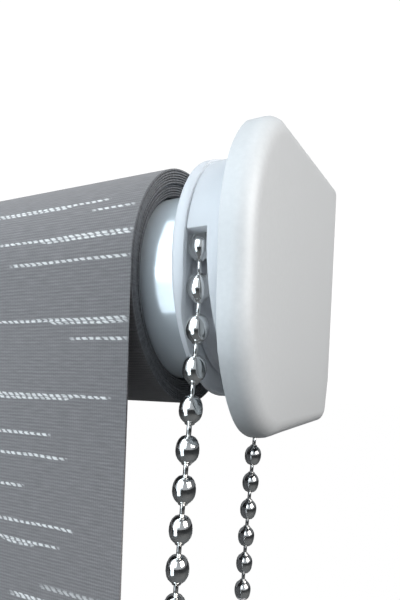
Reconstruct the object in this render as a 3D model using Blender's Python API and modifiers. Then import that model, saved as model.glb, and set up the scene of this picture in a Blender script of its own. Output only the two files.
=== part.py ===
"""Roller blind with a bead chain control, on two wall brackets.

The axis of the roller runs along X. The wall is the plane Y = 0 and the room is towards -Y. The origin is on
the back of the control bracket, level with the axis. Lengths are in metres.
"""

import math

import bmesh
import bpy
from mathutils import Vector

MM = 0.001
CLEAR = 0.3 * MM  # gap between pieces that touch

# Overall sizes
FABRIC_WIDTH = 400 * MM
WALL_TO_AXIS = 39 * MM
HEM_DROP = 300 * MM  # axis to the underside of the hem bar

# Roller
TUBE_RADIUS = 19 * MM
TUBE_WALL = 1.2 * MM
ROLL_RADIUS = 24.4 * MM
ROLL_DISH = 1.5 * MM  # how far the inner turns sit back at each end of the roll
CLOTH = 0.45 * MM
ROLL_END_X = -8 * MM  # control end of the fabric

# Bead chain
BEAD_RADIUS = 2.05 * MM
BEAD_PITCH = 6.85 * MM
WHEEL_POCKETS = 18
CHAIN_OFFSET = 10.45 * MM  # roll end to the plane of the chain
CHAIN_SWAY = 3.3 * MM  # how far the loop swings towards the fabric
CHAIN_SWAY_START = 14 * MM  # below the axis
CHAIN_SWAY_DEPTH = 86 * MM  # height over which it swings

# Chain guard
GUARD_RADIUS = 23.6 * MM
GUARD_LIFT = 1.1 * MM
GUARD_OFFSET = 7.05 * MM  # roll end to the guard
GUARD_DISC = 1.1 * MM
GUARD_LIP = 2.25 * MM  # thickness of the disc at its edge
GUARD_RIM = 1.6 * MM
SLOT_TOP = 4.4 * MM
SLOT_SIDE = 13.1 * MM  # roll end to the outer side of the slot, at its top
SLOT_FLARE = 0.9 * MM
GUARD_DEPTH = 7.7 * MM

# Brackets and covers
PLATE = 1.8 * MM
PLATE_FRONT = 19 * MM  # how far the side plate reaches in front of the axis
PLATE_LOW = 20 * MM
PLATE_HIGH = 17 * MM
FLANGE_WIDTH = 22 * MM  # wall flange, measured along X
CONTROL_PLATE_OFFSET = 19.9 * MM
IDLE_PLATE_OFFSET = 9.9 * MM
SCREW_SPACING = 26 * MM
SCREW_RADIUS = 1.9 * MM
SCREW_LENGTH = 22 * MM
COVER_WALL = 1.4 * MM
COVER_DEPTH = 4.7 * MM
COVER_FRONT = 34.2 * MM
COVER_LOW = 28.9 * MM
COVER_CHIN = 17.7 * MM  # radius of the lower front corner
COVER_SHOULDER = (-21.2 * MM, 21.8 * MM)  # front end of the sloping top, from the axis
COVER_TOP_SLOPE = 0.24
COVER_DRAFT = 0.01  # lean of the outer face, for each metre up
COVER_EDGE = 3 * MM

# Clutch, crown and idle end
CORE_RADIUS = 8.2 * MM
CORE_BORE = 2.2 * MM
CORE_REACH = 24 * MM  # how far the core goes inside the tube
SPRING_WIRE = 0.5 * MM
SPRING_TURNS = 7
HUB_RADIUS = 12.4 * MM
CROWN_LENGTH = 38 * MM
CROWN_SLOTS = 6
PIN_RADIUS = 4 * MM
PLUG_LENGTH = 50 * MM

# Hem bar
HEM_HEIGHT = 24 * MM
HEM_DEPTH = 7 * MM
HEM_WALL = 1.2 * MM
HEM_CAP = 2.5 * MM
HEM_MOUTH = 1.4 * MM

# Chain connector
CONNECTOR_LENGTH = 14 * MM
CONNECTOR_RADIUS = 3.6 * MM
CONNECTOR_DROP = 76 * MM  # axis to the top of the connector

AXIS_Y = -WALL_TO_AXIS
AXIS = Vector((0, AXIS_Y, 0))
TUBE_OVERHANG = GUARD_OFFSET - 3 * CLEAR
TUBE_BORE = TUBE_RADIUS - TUBE_WALL
PITCH_RADIUS = WHEEL_POCKETS * BEAD_PITCH / math.tau
IDLE_END_X = ROLL_END_X - FABRIC_WIDTH
FABRIC_Y = AXIS_Y - ROLL_RADIUS + CLOTH / 2
HEM_TOP = -HEM_DROP + HEM_HEIGHT
PANEL_TOP = -6 * MM
PLUG_RADIUS = TUBE_BORE - CLEAR

# Route of the hanging chain: distance from the wheel's centre plane along Y, and height, in millimetres
CHAIN_ROUTE = (
    (-1.0, -0.2), (-1.0, -12), (-1.0, -30), (-1.0, -60), (-1.0, -95), (-1.0, -135), (-1.0, -175),
    (-1.0, -215), (-1.0, -255), (-1.0, -275), (-0.98, -293), (-0.9, -309), (-0.72, -323), (-0.42, -332),
    (0.0, -335), (0.42, -332), (0.72, -323), (0.9, -309), (0.98, -293), (1.0, -275), (1.0, -255),
    (1.0, -215), (1.0, -175), (1.0, -135), (1.0, -95), (1.0, -60), (1.0, -30), (1.0, -12), (1.0, -0.2),
)


def collection(name):
    made = bpy.data.collections.new(name)
    bpy.context.scene.collection.children.link(made)
    return made


def clear_scene():
    for obj in list(bpy.data.objects):
        bpy.data.objects.remove(obj, do_unlink=True)


clear_scene()
PARTS = collection("roller_blind")
CUTTERS = collection("cutters")
FINISHES = {}


def finish(name, colour, roughness, metallic=0.0):
    """A Principled material, made once for each name."""
    if name not in FINISHES:
        made = bpy.data.materials.new(name)
        made.use_nodes = True
        shader = made.node_tree.nodes["Principled BSDF"]
        shader.inputs["Base Color"].default_value = (*colour, 1)
        shader.inputs["Roughness"].default_value = roughness
        shader.inputs["Metallic"].default_value = metallic
        FINISHES[name] = made
    return FINISHES[name]


WHITE = finish("white_plastic", (0.82, 0.84, 0.86), 0.45)
GREY = finish("grey_plastic", (0.16, 0.16, 0.17), 0.5)
FABRIC = finish("woven_fabric", (0.27, 0.27, 0.29), 0.9)
ALUMINIUM = finish("anodised_aluminium", (0.6, 0.64, 0.68), 0.35, 1.0)
STEEL = finish("zinc_steel", (0.6, 0.6, 0.6), 0.4, 1.0)
NICKEL = finish("nickel_chain", (0.75, 0.75, 0.75), 0.15, 1.0)


def add(name, data, material):
    """Links a mesh or a curve as a part. A cutter has no material."""
    obj = bpy.data.objects.new(name, data)
    (PARTS if material else CUTTERS).objects.link(obj)
    if material:
        data.materials.append(material)
    else:
        obj.hide_render = True
        obj.display_type = "WIRE"
    return obj


def mesh_from(bm, name):
    mesh = bpy.data.meshes.new(name)
    bm.to_mesh(mesh)
    bm.free()
    return mesh


def box(name, low, high, material=None, bevel=0.0):
    """A box from corner to corner. bevel rounds all its edges."""
    low, high = Vector(low), Vector(high)
    bm = bmesh.new()
    bmesh.ops.create_cube(bm, size=1)
    for vertex in bm.verts:
        vertex.co = (low + high) / 2 + vertex.co * (high - low)
    obj = add(name, mesh_from(bm, name), material)
    if bevel:
        rounding = obj.modifiers.new("round", "BEVEL")
        rounding.width = bevel
        rounding.segments = 2
    return obj


def rod(name, start, end, radius, material=None, sides=32, end_radius=None):
    """A cylinder between two points, or a cone if its end has another radius."""
    start, end = Vector(start), Vector(end)
    last = radius if end_radius is None else end_radius
    bm = bmesh.new()
    bmesh.ops.create_cone(
        bm, cap_ends=True, segments=sides, radius1=radius, radius2=last, depth=(end - start).length
    )
    turn = Vector((0, 0, 1)).rotation_difference(end - start)
    for vertex in bm.verts:
        vertex.co = turn @ vertex.co + (start + end) / 2
    return add(name, mesh_from(bm, name), material)


def turned(name, profile, material=None, steps=48, centre=AXIS, to_idle=False):
    """A ring turned round the X direction. The profile is a closed outline of (x, radius) points."""
    area = sum(
        a[1] * b[0] - b[1] * a[0] for a, b in zip(profile, profile[1:] + profile[:1], strict=True)
    )
    outline = profile if area < 0 else profile[::-1]
    mesh = bpy.data.meshes.new(name)
    points = [(radius, 0, x) for x, radius in outline]
    count = len(points)
    mesh.from_pydata(points, [(i, (i + 1) % count) for i in range(count)], [])
    obj = add(name, mesh, material)
    screw = obj.modifiers.new("turn", "SCREW")
    screw.steps = screw.render_steps = steps
    screw.use_merge_vertices = True
    screw.merge_threshold = 0.00001
    obj.rotation_euler = (0, math.pi / 2, 0)
    obj.location = centre
    if to_idle:
        obj.rotation_euler = (0, -math.pi / 2, 0)
        obj.location = centre + Vector((ROLL_END_X + IDLE_END_X, 0, 0))
    return obj


def cut(obj, *cutters):
    for cutter in cutters:
        boolean = obj.modifiers.new("cut", "BOOLEAN")
        boolean.operation = "DIFFERENCE"
        boolean.object = cutter


def join(obj, *others):
    """Unions other shapes, kept as helpers, into this one."""
    for other in others:
        boolean = obj.modifiers.new("join", "BOOLEAN")
        boolean.operation = "UNION"
        boolean.object = other


def along_x(offset):
    """X of a point this far past the control end of the fabric."""
    return ROLL_END_X + offset


def arc(first, middle, last, count):
    """Points on the circle through three points, from the first to the last."""
    (ax, ay), (bx, by), (cx, cy) = first, middle, last
    d = 2 * (ax * (by - cy) + bx * (cy - ay) + cx * (ay - by))
    a2, b2, c2 = ax * ax + ay * ay, bx * bx + by * by, cx * cx + cy * cy
    ux = (a2 * (by - cy) + b2 * (cy - ay) + c2 * (ay - by)) / d
    uy = (a2 * (cx - bx) + b2 * (ax - cx) + c2 * (bx - ax)) / d
    radius = math.hypot(ax - ux, ay - uy)
    start = math.atan2(ay - uy, ax - ux)
    sweep = (math.atan2(cy - uy, cx - ux) - start) % math.tau
    if (math.atan2(by - uy, bx - ux) - start) % math.tau > sweep:
        sweep -= math.tau
    return [
        (ux + radius * math.cos(start + sweep * i / count), uy + radius * math.sin(start + sweep * i / count))
        for i in range(count + 1)
    ]


def cover_outline():
    """Side view of a cover as (y, z) points from its axis: bottom rear, round the front, top rear."""
    wall = WALL_TO_AXIS - 3 * CLEAR
    low_corner = 4 * MM
    nose = (-COVER_FRONT, -2 * MM)
    chin_y, chin_z = -COVER_FRONT + 0.3 * MM + COVER_CHIN, -COVER_LOW + COVER_CHIN
    shoulder_y, shoulder_z = COVER_SHOULDER
    bottom = [(wall, low_corner - COVER_LOW), (wall - 0.3 * low_corner, 0.3 * low_corner - COVER_LOW)]
    bottom.append((wall - low_corner, -COVER_LOW))
    turns = [math.pi / 2 * i / 7 for i in range(8)]
    lower = [(chin_y - COVER_CHIN * math.sin(a), chin_z - COVER_CHIN * math.cos(a)) for a in turns]
    cheek = (-COVER_FRONT + 2.9 * MM, 11 * MM)
    brow = (shoulder_y - 1.4 * MM, shoulder_z - 1.3 * MM)
    upper = arc(nose, cheek, brow, 8)
    ease = 1.6 * MM
    top = [(shoulder_y, shoulder_z - 0.35 * MM), (shoulder_y + ease, shoulder_z + COVER_TOP_SLOPE * ease)]
    top.append((wall, shoulder_z + COVER_TOP_SLOPE * (wall - shoulder_y)))
    return bottom + lower + upper + top


def tube_curve(name, points, radius, material, sides=2):
    """A round wire or cord through many points, with closed ends."""
    curve = bpy.data.curves.new(name, "CURVE")
    curve.dimensions = "3D"
    spline = curve.splines.new("POLY")
    spline.points.add(len(points) - 1)
    for point, place in zip(spline.points, points, strict=True):
        point.co = (*place, 1)
    curve.bevel_depth = radius
    curve.bevel_resolution = sides
    curve.use_fill_caps = True
    return add(name, curve, material)


def smooth_route(points, spacing):
    """Points at an even spacing along a smooth curve through the given ones."""
    points = [Vector(p) for p in points]
    padded = [2 * points[0] - points[1], *points, 2 * points[-1] - points[-2]]
    dense = []
    for a, b, c, d in zip(padded, padded[1:], padded[2:], padded[3:]):
        for step in range(24):
            t = step / 24
            dense.append(
                0.5 * (2 * b + (c - a) * t + (2 * a - 5 * b + 4 * c - d) * t * t + (3 * b - a - 3 * c + d) * t**3)
            )
    dense.append(points[-1])
    lengths = [0.0]
    for a, b in zip(dense, dense[1:]):
        lengths.append(lengths[-1] + (b - a).length)
    count = round(lengths[-1] / spacing)
    result, index = [], 0
    for i in range(count + 1):
        target = lengths[-1] * i / count
        while index < len(dense) - 2 and lengths[index + 1] < target:
            index += 1
        share = (target - lengths[index]) / (lengths[index + 1] - lengths[index])
        result.append(dense[index].lerp(dense[index + 1], min(share, 1)))
    return result


# Roller: tube and wound fabric


def make_roller():
    end = along_x(TUBE_OVERHANG)
    far = IDLE_END_X - TUBE_OVERHANG
    tube = [(far, TUBE_RADIUS), (end, TUBE_RADIUS), (end, TUBE_BORE), (far, TUBE_BORE)]
    turned("roller_tube", tube, ALUMINIUM, steps=56)
    inner = TUBE_RADIUS + CLEAR
    roll = [
        (IDLE_END_X + ROLL_DISH, inner),
        (IDLE_END_X, ROLL_RADIUS - CLOTH),
        (IDLE_END_X, ROLL_RADIUS),
        (ROLL_END_X, ROLL_RADIUS),
        (ROLL_END_X, ROLL_RADIUS - CLOTH),
        (ROLL_END_X - ROLL_DISH, inner),
    ]
    turned("wound_fabric", roll, FABRIC, steps=56)


def make_panel():
    """The hanging fabric. Its foot goes into the mouth of the hem bar."""
    low = (IDLE_END_X, FABRIC_Y - CLOTH / 2, HEM_TOP - 3 * MM)
    box("fabric_panel", low, (ROLL_END_X, FABRIC_Y + CLOTH / 2, PANEL_TOP), FABRIC)


def make_hem():
    """A hollow flat bar with a mouth along its top, a locking strip inside and a cap at each end."""
    left, right = IDLE_END_X, ROLL_END_X
    front, back = FABRIC_Y - HEM_DEPTH / 2, FABRIC_Y + HEM_DEPTH / 2
    bar = box("hem_bar", (left, front, -HEM_DROP), (right, back, HEM_TOP), ALUMINIUM)
    edges = bar.modifiers.new("round", "BEVEL")
    edges.width = 1.6 * MM
    edges.segments = 3
    hollow = box(
        "hem_hollow",
        (left - HEM_CAP, front + HEM_WALL, -HEM_DROP + HEM_WALL),
        (right + HEM_CAP, back - HEM_WALL, HEM_TOP - HEM_WALL),
    )
    mouth = box(
        "hem_mouth",
        (left - HEM_CAP, FABRIC_Y - HEM_MOUTH / 2, HEM_TOP - 2 * HEM_WALL),
        (right + HEM_CAP, FABRIC_Y + HEM_MOUTH / 2, HEM_TOP + HEM_WALL),
    )
    cut(bar, hollow, mouth)
    strip_top = HEM_TOP - 3 * MM - CLEAR
    box(
        "hem_strip",
        (left + 2 * MM, FABRIC_Y - 1.6 * MM, strip_top - 4 * MM),
        (right - 2 * MM, FABRIC_Y + 1.6 * MM, strip_top),
        WHITE,
    )
    for name, face, inward in (("hem_cap_control", right, -1), ("hem_cap_idle", left, 1)):
        near, far = face - inward * CLEAR, face - inward * HEM_CAP
        cap = box(
            name,
            (min(near, far), front - 0.4 * MM, -HEM_DROP - 0.4 * MM),
            (max(near, far), back + 0.4 * MM, HEM_TOP + 0.4 * MM),
            WHITE,
            bevel=0.8 * MM,
        )
        root, tip = near - inward * 0.5 * MM, face + inward * 9 * MM
        tongue = box(
            name + "_tongue",
            (min(root, tip), front + HEM_WALL + CLEAR, -HEM_DROP + HEM_WALL + CLEAR),
            (max(root, tip), back - HEM_WALL - CLEAR, HEM_TOP - 9 * MM),
        )
        join(cap, tongue)


# Chain wheel, clutch and guard


def make_wheel():
    """The wheel carries the chain in a groove, turns on the core and drives the crown through its hub."""
    left = along_x(GUARD_OFFSET + GUARD_DISC + CLEAR)
    right = along_x(GUARD_OFFSET + GUARD_DISC + GUARD_DEPTH - GUARD_RIM - 2 * CLEAR)
    middle = along_x(CHAIN_OFFSET)
    root = PITCH_RADIUS - BEAD_RADIUS - CLEAR
    rim = PITCH_RADIUS - 0.7 * BEAD_RADIUS
    bore = CORE_RADIUS + CLEAR
    hub_end = along_x(0.5 * MM)
    groove = [(middle + BEAD_RADIUS * k, root + (rim - root) * abs(k) ** 2) for k in (0.85, 0.5, 0, -0.5, -0.85)]
    profile = [(right, rim), *groove, (left, rim), (left, HUB_RADIUS), (hub_end, HUB_RADIUS)]
    profile += [(hub_end, HUB_RADIUS - 1.9 * MM), (left, HUB_RADIUS - 1.9 * MM), (left, bore), (right, bore)]
    turned("chain_wheel", profile, GREY, steps=54)


def make_core():
    """The fixed axle of the clutch, screwed to the bracket's side plate."""
    right = along_x(CONTROL_PLATE_OFFSET - CLEAR)
    left = along_x(-CORE_REACH)
    profile = [(left, CORE_RADIUS), (right, CORE_RADIUS), (right, CORE_BORE), (left, CORE_BORE)]
    turned("clutch_core", profile, GREY, steps=40)
    turns = SPRING_TURNS
    radius = CORE_RADIUS + CLEAR + SPRING_WIRE
    start, length = along_x(-CORE_REACH + 3 * MM), 17 * MM
    points = []
    for i in range(turns * 12 + 1):
        angle = math.tau * i / 12
        x = start + length * i / (turns * 12)
        points.append((x, AXIS_Y + radius * math.cos(angle), radius * math.sin(angle)))
    tube_curve("wrap_spring", points, SPRING_WIRE, STEEL)


def make_crown():
    """The sleeve pressed into the tube, which the wheel's hub turns. Slots split its inner end."""
    right = along_x(TUBE_OVERHANG - CLEAR)
    left = right - CROWN_LENGTH
    bore = HUB_RADIUS + CLEAR
    profile = [(left, PLUG_RADIUS), (right, PLUG_RADIUS), (right, bore), (left, bore)]
    crown = turned("drive_crown", profile, GREY)
    for i in range(CROWN_SLOTS // 2):
        slot = box(
            f"crown_slot_{i}",
            (left - MM, -TUBE_RADIUS, -1.2 * MM),
            (left + 12 * MM, TUBE_RADIUS, 1.2 * MM),
        )
        slot.location = AXIS
        slot.rotation_euler = (math.pi * i / (CROWN_SLOTS // 2), 0, 0)
        cut(crown, slot)


def make_guard():
    """A disc beside the fabric and a drum over the wheel, open at the front and below for the chain."""
    centre = AXIS + Vector((0, 0, GUARD_LIFT))
    face = along_x(GUARD_OFFSET)
    back = face + GUARD_DISC
    along = Vector((1, 0, 0))
    lip = face + GUARD_LIP
    inside = GUARD_RADIUS - 1.7 * MM
    profile = [(face, 8 * MM), (face, GUARD_RADIUS), (lip, GUARD_RADIUS)]
    profile += [(lip, inside), (back, inside), (back, 8 * MM)]
    disc = turned("guard_disc", profile, WHITE, steps=64, centre=centre)
    ends = AXIS + (face - MM) * along, AXIS + (back + MM) * along
    relief = []
    for i, way in enumerate((-1, 1)):
        y = AXIS_Y + way * PITCH_RADIUS
        room = Vector((0, BEAD_RADIUS + 2 * CLEAR, 0))
        low, high = Vector((back, y, -2 * GUARD_RADIUS)) - room, Vector((lip + MM, y, -4 * MM)) + room
        relief.append(box(f"guard_relief_{i}", low, high))
    cut(disc, rod("guard_disc_bore", *ends, HUB_RADIUS + CLEAR), *relief)
    left, right = lip + CLEAR, back + GUARD_DEPTH
    wall = right - GUARD_RIM
    outer = GUARD_RADIUS - CLEAR
    plate = along_x(CONTROL_PLATE_OFFSET - CLEAR)
    profile = [(left, outer), (right, outer), (right, 14 * MM), (plate, 14 * MM), (plate, HUB_RADIUS - 2 * MM)]
    profile += [(wall, HUB_RADIUS - 2 * MM), (wall, outer - GUARD_RIM), (left, outer - GUARD_RIM)]
    drum = turned("guard_drum", profile, WHITE, steps=64, centre=centre)
    ends = AXIS + (wall - MM) * along, AXIS + (plate + MM) * along
    drum_bore = rod("guard_drum_bore", *ends, CORE_RADIUS + CLEAR)
    side = along_x(SLOT_SIDE)
    front, rear = AXIS_Y - 2 * GUARD_RADIUS, AXIS_Y + 2 * GUARD_RADIUS
    waist = -0.6 * GUARD_RADIUS
    window = box("guard_window", (left - MM, front, waist), (side, rear, SLOT_TOP))
    for vertex in window.data.vertices:
        if vertex.co.x > left and vertex.co.z < 0:
            vertex.co.x += SLOT_FLARE
    mouth_top = waist + 0.1 * MM
    mouth = box("guard_mouth", (left - MM, front, -2 * GUARD_RADIUS), (side + SLOT_FLARE, rear, mouth_top))
    cut(drum, drum_bore, window, mouth)


# Bead chain


def sway(height):
    share = min(1, max(0, (-height - CHAIN_SWAY_START) / CHAIN_SWAY_DEPTH))
    return CHAIN_SWAY * math.sin(math.pi / 2 * share)


def chain_point(share, height):
    """A point of the hanging loop, which swings a little to the side below the wheel."""
    return (along_x(CHAIN_OFFSET) - sway(height), AXIS_Y + share * PITCH_RADIUS, height)


def make_chain():
    points = []
    for i in range(19):
        angle = math.pi * i / 18
        y, z = AXIS_Y - PITCH_RADIUS * math.cos(angle), PITCH_RADIUS * math.sin(angle)
        points.append((along_x(CHAIN_OFFSET), y, z + 0.2 * MM))
    tube_curve("chain_on_wheel", points, BEAD_RADIUS, NICKEL)
    route = [chain_point(share, height * MM) for share, height in CHAIN_ROUTE]
    tube_curve("chain_loop", smooth_route(route, 9.5 * MM), BEAD_RADIUS, NICKEL)


def make_connector():
    """The clasp that joins the chain's two ends. The strand passes through it."""
    place = Vector((along_x(CHAIN_OFFSET) - 0.985 * CHAIN_SWAY, AXIS_Y + PITCH_RADIUS, 0))
    top = place - Vector((0, 0, CONNECTOR_DROP))
    foot = top - Vector((0, 0, CONNECTOR_LENGTH))
    body = rod("chain_connector", top, foot, CONNECTOR_RADIUS, WHITE, 20)
    way = top - foot
    bore = rod("connector_bore", top + way, foot - way, BEAD_RADIUS + CLEAR, sides=16)
    cut(body, bore)


# Brackets, covers and fixings


def make_bracket(name, side, plate_offset, hole, countersunk=False):
    """An angle of folded steel. side is 1 at the control end and -1 at the idle end."""
    near, far = plate_offset, plate_offset + PLATE
    end = ROLL_END_X if side > 0 else IDLE_END_X
    inner = end + side * near
    outer = end + side * far
    tip = outer - side * FLANGE_WIDTH
    high = PLATE_HIGH
    bracket = box(
        name,
        (min(inner, outer), AXIS_Y - PLATE_FRONT, -PLATE_LOW),
        (max(inner, outer), 0, high),
        STEEL,
    )
    flange = box(name + "_flange", (min(outer, tip), -PLATE, -PLATE_LOW), (max(outer, tip), 0, high))
    join(bracket, flange)
    narrow, wide = (hole - MM, hole + PLATE + MM) if countersunk else (hole, hole)
    ends = (inner - side * MM, AXIS_Y, 0), (outer + side * MM, AXIS_Y, 0)
    cut(bracket, rod(name + "_hole", *ends, narrow, sides=24, end_radius=wide))
    x = tip + side * 7 * MM
    for level, word in ((0.5, "upper"), (-0.5, "lower")):
        z = level * SCREW_SPACING - 1.5 * MM
        ends = (x, -2 * PLATE, z), (x, PLATE, z)
        cut(bracket, rod(f"{name}_{word}_hole", *ends, SCREW_RADIUS + CLEAR, sides=16))
        make_screw(f"{name}_screw_{word}", (x, -PLATE - CLEAR, z))


def make_screw(name, place):
    """A pan head wood screw with a cross recess. place is the underside of its head."""
    x, y, z = place
    head = rod(name, (x, y, z), (x, y - 2.4 * MM, z), 3.8 * MM, STEEL, 20)
    edge = head.modifiers.new("round", "BEVEL")
    edge.width = 0.9 * MM
    edge.segments = 2
    edge.limit_method = "ANGLE"
    shank = rod(name + "_shank", (x, y - 0.5 * MM, z), (x, y + SCREW_LENGTH, z), SCREW_RADIUS, sides=12)
    join(head, shank)
    for i in range(2):
        half = Vector((2.2, 0, 0.45)) if i else Vector((0.45, 0, 2.2))
        low = Vector((x, y - 3 * MM, z)) - half * MM
        high = Vector((x, y - 1.1 * MM, z)) + half * MM
        cut(head, box(f"{name}_recess_{i}", low, high))


def make_cover(name, side, plate_offset):
    """A snap-on cover: a thin shell round the side plate, open towards the roller and the wall."""
    end = ROLL_END_X if side > 0 else IDLE_END_X
    rim = end + side * (plate_offset - CLEAR)
    bm = bmesh.new()
    outline = cover_outline()
    near = [bm.verts.new((rim, AXIS_Y + y, z)) for y, z in outline]
    lean = [side * (COVER_DEPTH + COVER_DRAFT * z) for _, z in outline]
    far = [bm.verts.new((rim + out, AXIS_Y + y, z)) for out, (y, z) in zip(lean, outline, strict=True)]
    for i in range(len(outline) - 1):
        bm.faces.new((near[i], near[i + 1], far[i + 1], far[i]))
    bm.faces.new(far)
    bm.normal_update()
    bmesh.ops.recalc_face_normals(bm, faces=bm.faces)
    rims = [e for e in bm.edges if e.verts[0] in far and e.verts[1] in far and len(e.link_faces) == 2]
    bmesh.ops.bevel(bm, geom=rims, offset=COVER_EDGE, segments=4, profile=0.5, affect="EDGES", clamp_overlap=True)
    face = max(bm.faces, key=lambda f: f.calc_area())
    bm.normal_update()
    if face.normal.x * side < 0:
        bmesh.ops.reverse_faces(bm, faces=bm.faces)
    mesh = bpy.data.meshes.new(name)
    bm.to_mesh(mesh)
    bm.free()
    cover = add(name, mesh, WHITE)
    shell = cover.modifiers.new("wall", "SOLIDIFY")
    shell.thickness = COVER_WALL
    shell.offset = -1
    shell.use_even_offset = False
    return cover


def make_clutch_screw():
    """A countersunk screw, flush with the outside of the side plate."""
    inner, outer = along_x(CONTROL_PLATE_OFFSET), along_x(CONTROL_PLATE_OFFSET + PLATE)
    thin, wide = CORE_BORE - CLEAR, CORE_BORE - CLEAR + PLATE
    screw = rod("clutch_screw", (inner, AXIS_Y, 0), (outer, AXIS_Y, 0), thin, STEEL, 20, wide)
    shank = rod("clutch_screw_shank", (inner - 14 * MM, AXIS_Y, 0), (outer - 0.5 * MM, AXIS_Y, 0), thin, sides=20)
    join(screw, shank)


def make_idle_end():
    """Plug, spring pin and bush at the idle end. Offsets run outwards from the idle end of the fabric."""
    outer = TUBE_OVERHANG - CLEAR
    inner = outer - PLUG_LENGTH
    bore = PIN_RADIUS + CLEAR
    floor = inner + 3 * MM
    base = ROLL_END_X
    profile = [(base + inner, PLUG_RADIUS), (base + outer, PLUG_RADIUS), (base + outer, bore)]
    profile += [(base + floor, bore), (base + floor, MM), (base + inner, MM)]
    turned("idle_plug", profile, GREY, to_idle=True)
    pin_in = outer - 28 * MM
    pin_out = IDLE_PLATE_OFFSET + PLATE
    plug_x = IDLE_END_X
    pin = rod("idle_pin", (plug_x - pin_in, AXIS_Y, 0), (plug_x - pin_out, AXIS_Y, 0), PIN_RADIUS, STEEL, 28)
    edge = pin.modifiers.new("round", "BEVEL")
    edge.width = 0.8 * MM
    edge.segments = 2
    edge.limit_method = "ANGLE"
    coil = PIN_RADIUS - 2 * CLEAR - SPRING_WIRE
    start, stop = floor + CLEAR + SPRING_WIRE, pin_in - CLEAR - SPRING_WIRE
    points = []
    for i in range(SPRING_TURNS * 10 + 1):
        angle = math.tau * i / 10
        x = start + (stop - start) * i / (SPRING_TURNS * 10)
        points.append((plug_x - x, AXIS_Y + coil * math.cos(angle), coil * math.sin(angle)))
    tube_curve("idle_spring", points, SPRING_WIRE, STEEL)
    flange = IDLE_PLATE_OFFSET - CLEAR
    through = IDLE_PLATE_OFFSET + PLATE
    bush = [(base + flange - 1.2 * MM, 8.5 * MM), (base + flange, 8.5 * MM), (base + flange, 6 * MM)]
    bush += [(base + through, 6 * MM), (base + through, bore), (base + flange - 1.2 * MM, bore)]
    turned("idle_bush", bush, WHITE, steps=36, to_idle=True)


make_roller()
make_panel()
make_hem()
make_wheel()
make_core()
make_crown()
make_guard()
make_chain()
make_connector()
make_bracket("control_bracket", 1, CONTROL_PLATE_OFFSET, CORE_BORE, countersunk=True)
make_bracket("idle_bracket", -1, IDLE_PLATE_OFFSET, 6 * MM + CLEAR)
make_cover("control_cover", 1, CONTROL_PLATE_OFFSET)
make_cover("idle_cover", -1, IDLE_PLATE_OFFSET)
make_clutch_screw()
make_idle_end()
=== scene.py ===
"""Roller blind, control end on the right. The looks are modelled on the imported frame, in metres, Z up."""

import math
import random

import bpy
from mathutils import Matrix, Vector


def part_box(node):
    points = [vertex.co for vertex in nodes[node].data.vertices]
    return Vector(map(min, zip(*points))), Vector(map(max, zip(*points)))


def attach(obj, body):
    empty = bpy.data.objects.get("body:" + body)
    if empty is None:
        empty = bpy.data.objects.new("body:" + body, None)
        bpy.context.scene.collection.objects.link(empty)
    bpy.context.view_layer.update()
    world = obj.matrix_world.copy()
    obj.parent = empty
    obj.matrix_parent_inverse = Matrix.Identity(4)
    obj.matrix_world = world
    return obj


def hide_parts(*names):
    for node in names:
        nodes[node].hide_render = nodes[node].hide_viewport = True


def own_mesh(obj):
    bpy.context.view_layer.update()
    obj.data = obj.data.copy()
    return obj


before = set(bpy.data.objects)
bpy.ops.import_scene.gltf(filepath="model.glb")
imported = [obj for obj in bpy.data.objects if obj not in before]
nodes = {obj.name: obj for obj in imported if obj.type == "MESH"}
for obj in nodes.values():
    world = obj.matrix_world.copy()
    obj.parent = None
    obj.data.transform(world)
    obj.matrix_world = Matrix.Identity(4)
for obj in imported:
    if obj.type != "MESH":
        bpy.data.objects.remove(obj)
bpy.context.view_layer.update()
MM = 0.001

# ---- Camera ----------------------------------------------------------------------------------------------
# A short lens close to the control end, nearly level with the roller's axis, turned towards the fabric.
# The lens is shifted up the sensor, so that upright edges stay upright.
camera_data = bpy.data.cameras.new("camera")
camera = bpy.data.objects.new("camera", camera_data)
bpy.context.scene.collection.objects.link(camera)
bpy.context.scene.camera = camera
camera_data.sensor_width = 36
camera_data.lens = 26.4
camera_data.shift_y = 0.15
camera_data.clip_start = 0.005
yaw, pitch, tilt = 0.4188, -0.0062, 0.035
ahead = Vector((-math.sin(yaw) * math.cos(pitch), math.cos(yaw) * math.cos(pitch), math.sin(pitch)))
right = Vector((math.cos(yaw), math.sin(yaw), 0))
up = right.cross(ahead)
across = math.cos(tilt) * right + math.sin(tilt) * up
above = math.cos(tilt) * up - math.sin(tilt) * right
turned = Matrix((across, above, -ahead)).transposed().to_4x4()
camera.matrix_world = Matrix.Translation((0.033406, -0.1261, -0.020833)) @ turned

# ---- Bead chain ------------------------------------------------------------------------------------------
# Nickel plated steel ball chain: hollow rolled beads on short dumbbell links. A bead is round at the top and
# draws in to a collar at its foot. The loop hangs from the wheel, whose pockets hold half a ring of beads.
AXIS_Y = -39 * MM
ROLL_END_X = -8 * MM
CHAIN_X = ROLL_END_X + 10.45 * MM
BEAD_PITCH = 6.85 * MM
POCKETS = 18
PITCH_RADIUS = POCKETS * BEAD_PITCH / math.tau
FIRST_BEAD = 3.8 * MM  # below the wheel's axis, on the front strand
# The hanging loop from its front top, round its foot, to its rear top, as (share of the pitch radius behind
# the axis, height in millimetres)
CHAIN_ROUTE = (
    (-1.0, -0.2), (-1.0, -12), (-1.0, -30), (-1.0, -60), (-1.0, -95), (-1.0, -135), (-1.0, -175),
    (-1.0, -215), (-1.0, -255), (-1.0, -275), (-0.98, -293), (-0.9, -309), (-0.72, -323), (-0.42, -332),
    (0.0, -335), (0.42, -332), (0.72, -323), (0.9, -309), (0.98, -293), (1.0, -275), (1.0, -255),
    (1.0, -215), (1.0, -175), (1.0, -135), (1.0, -95), (1.0, -60), (1.0, -30), (1.0, -12), (1.0, -0.2),
)


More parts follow.
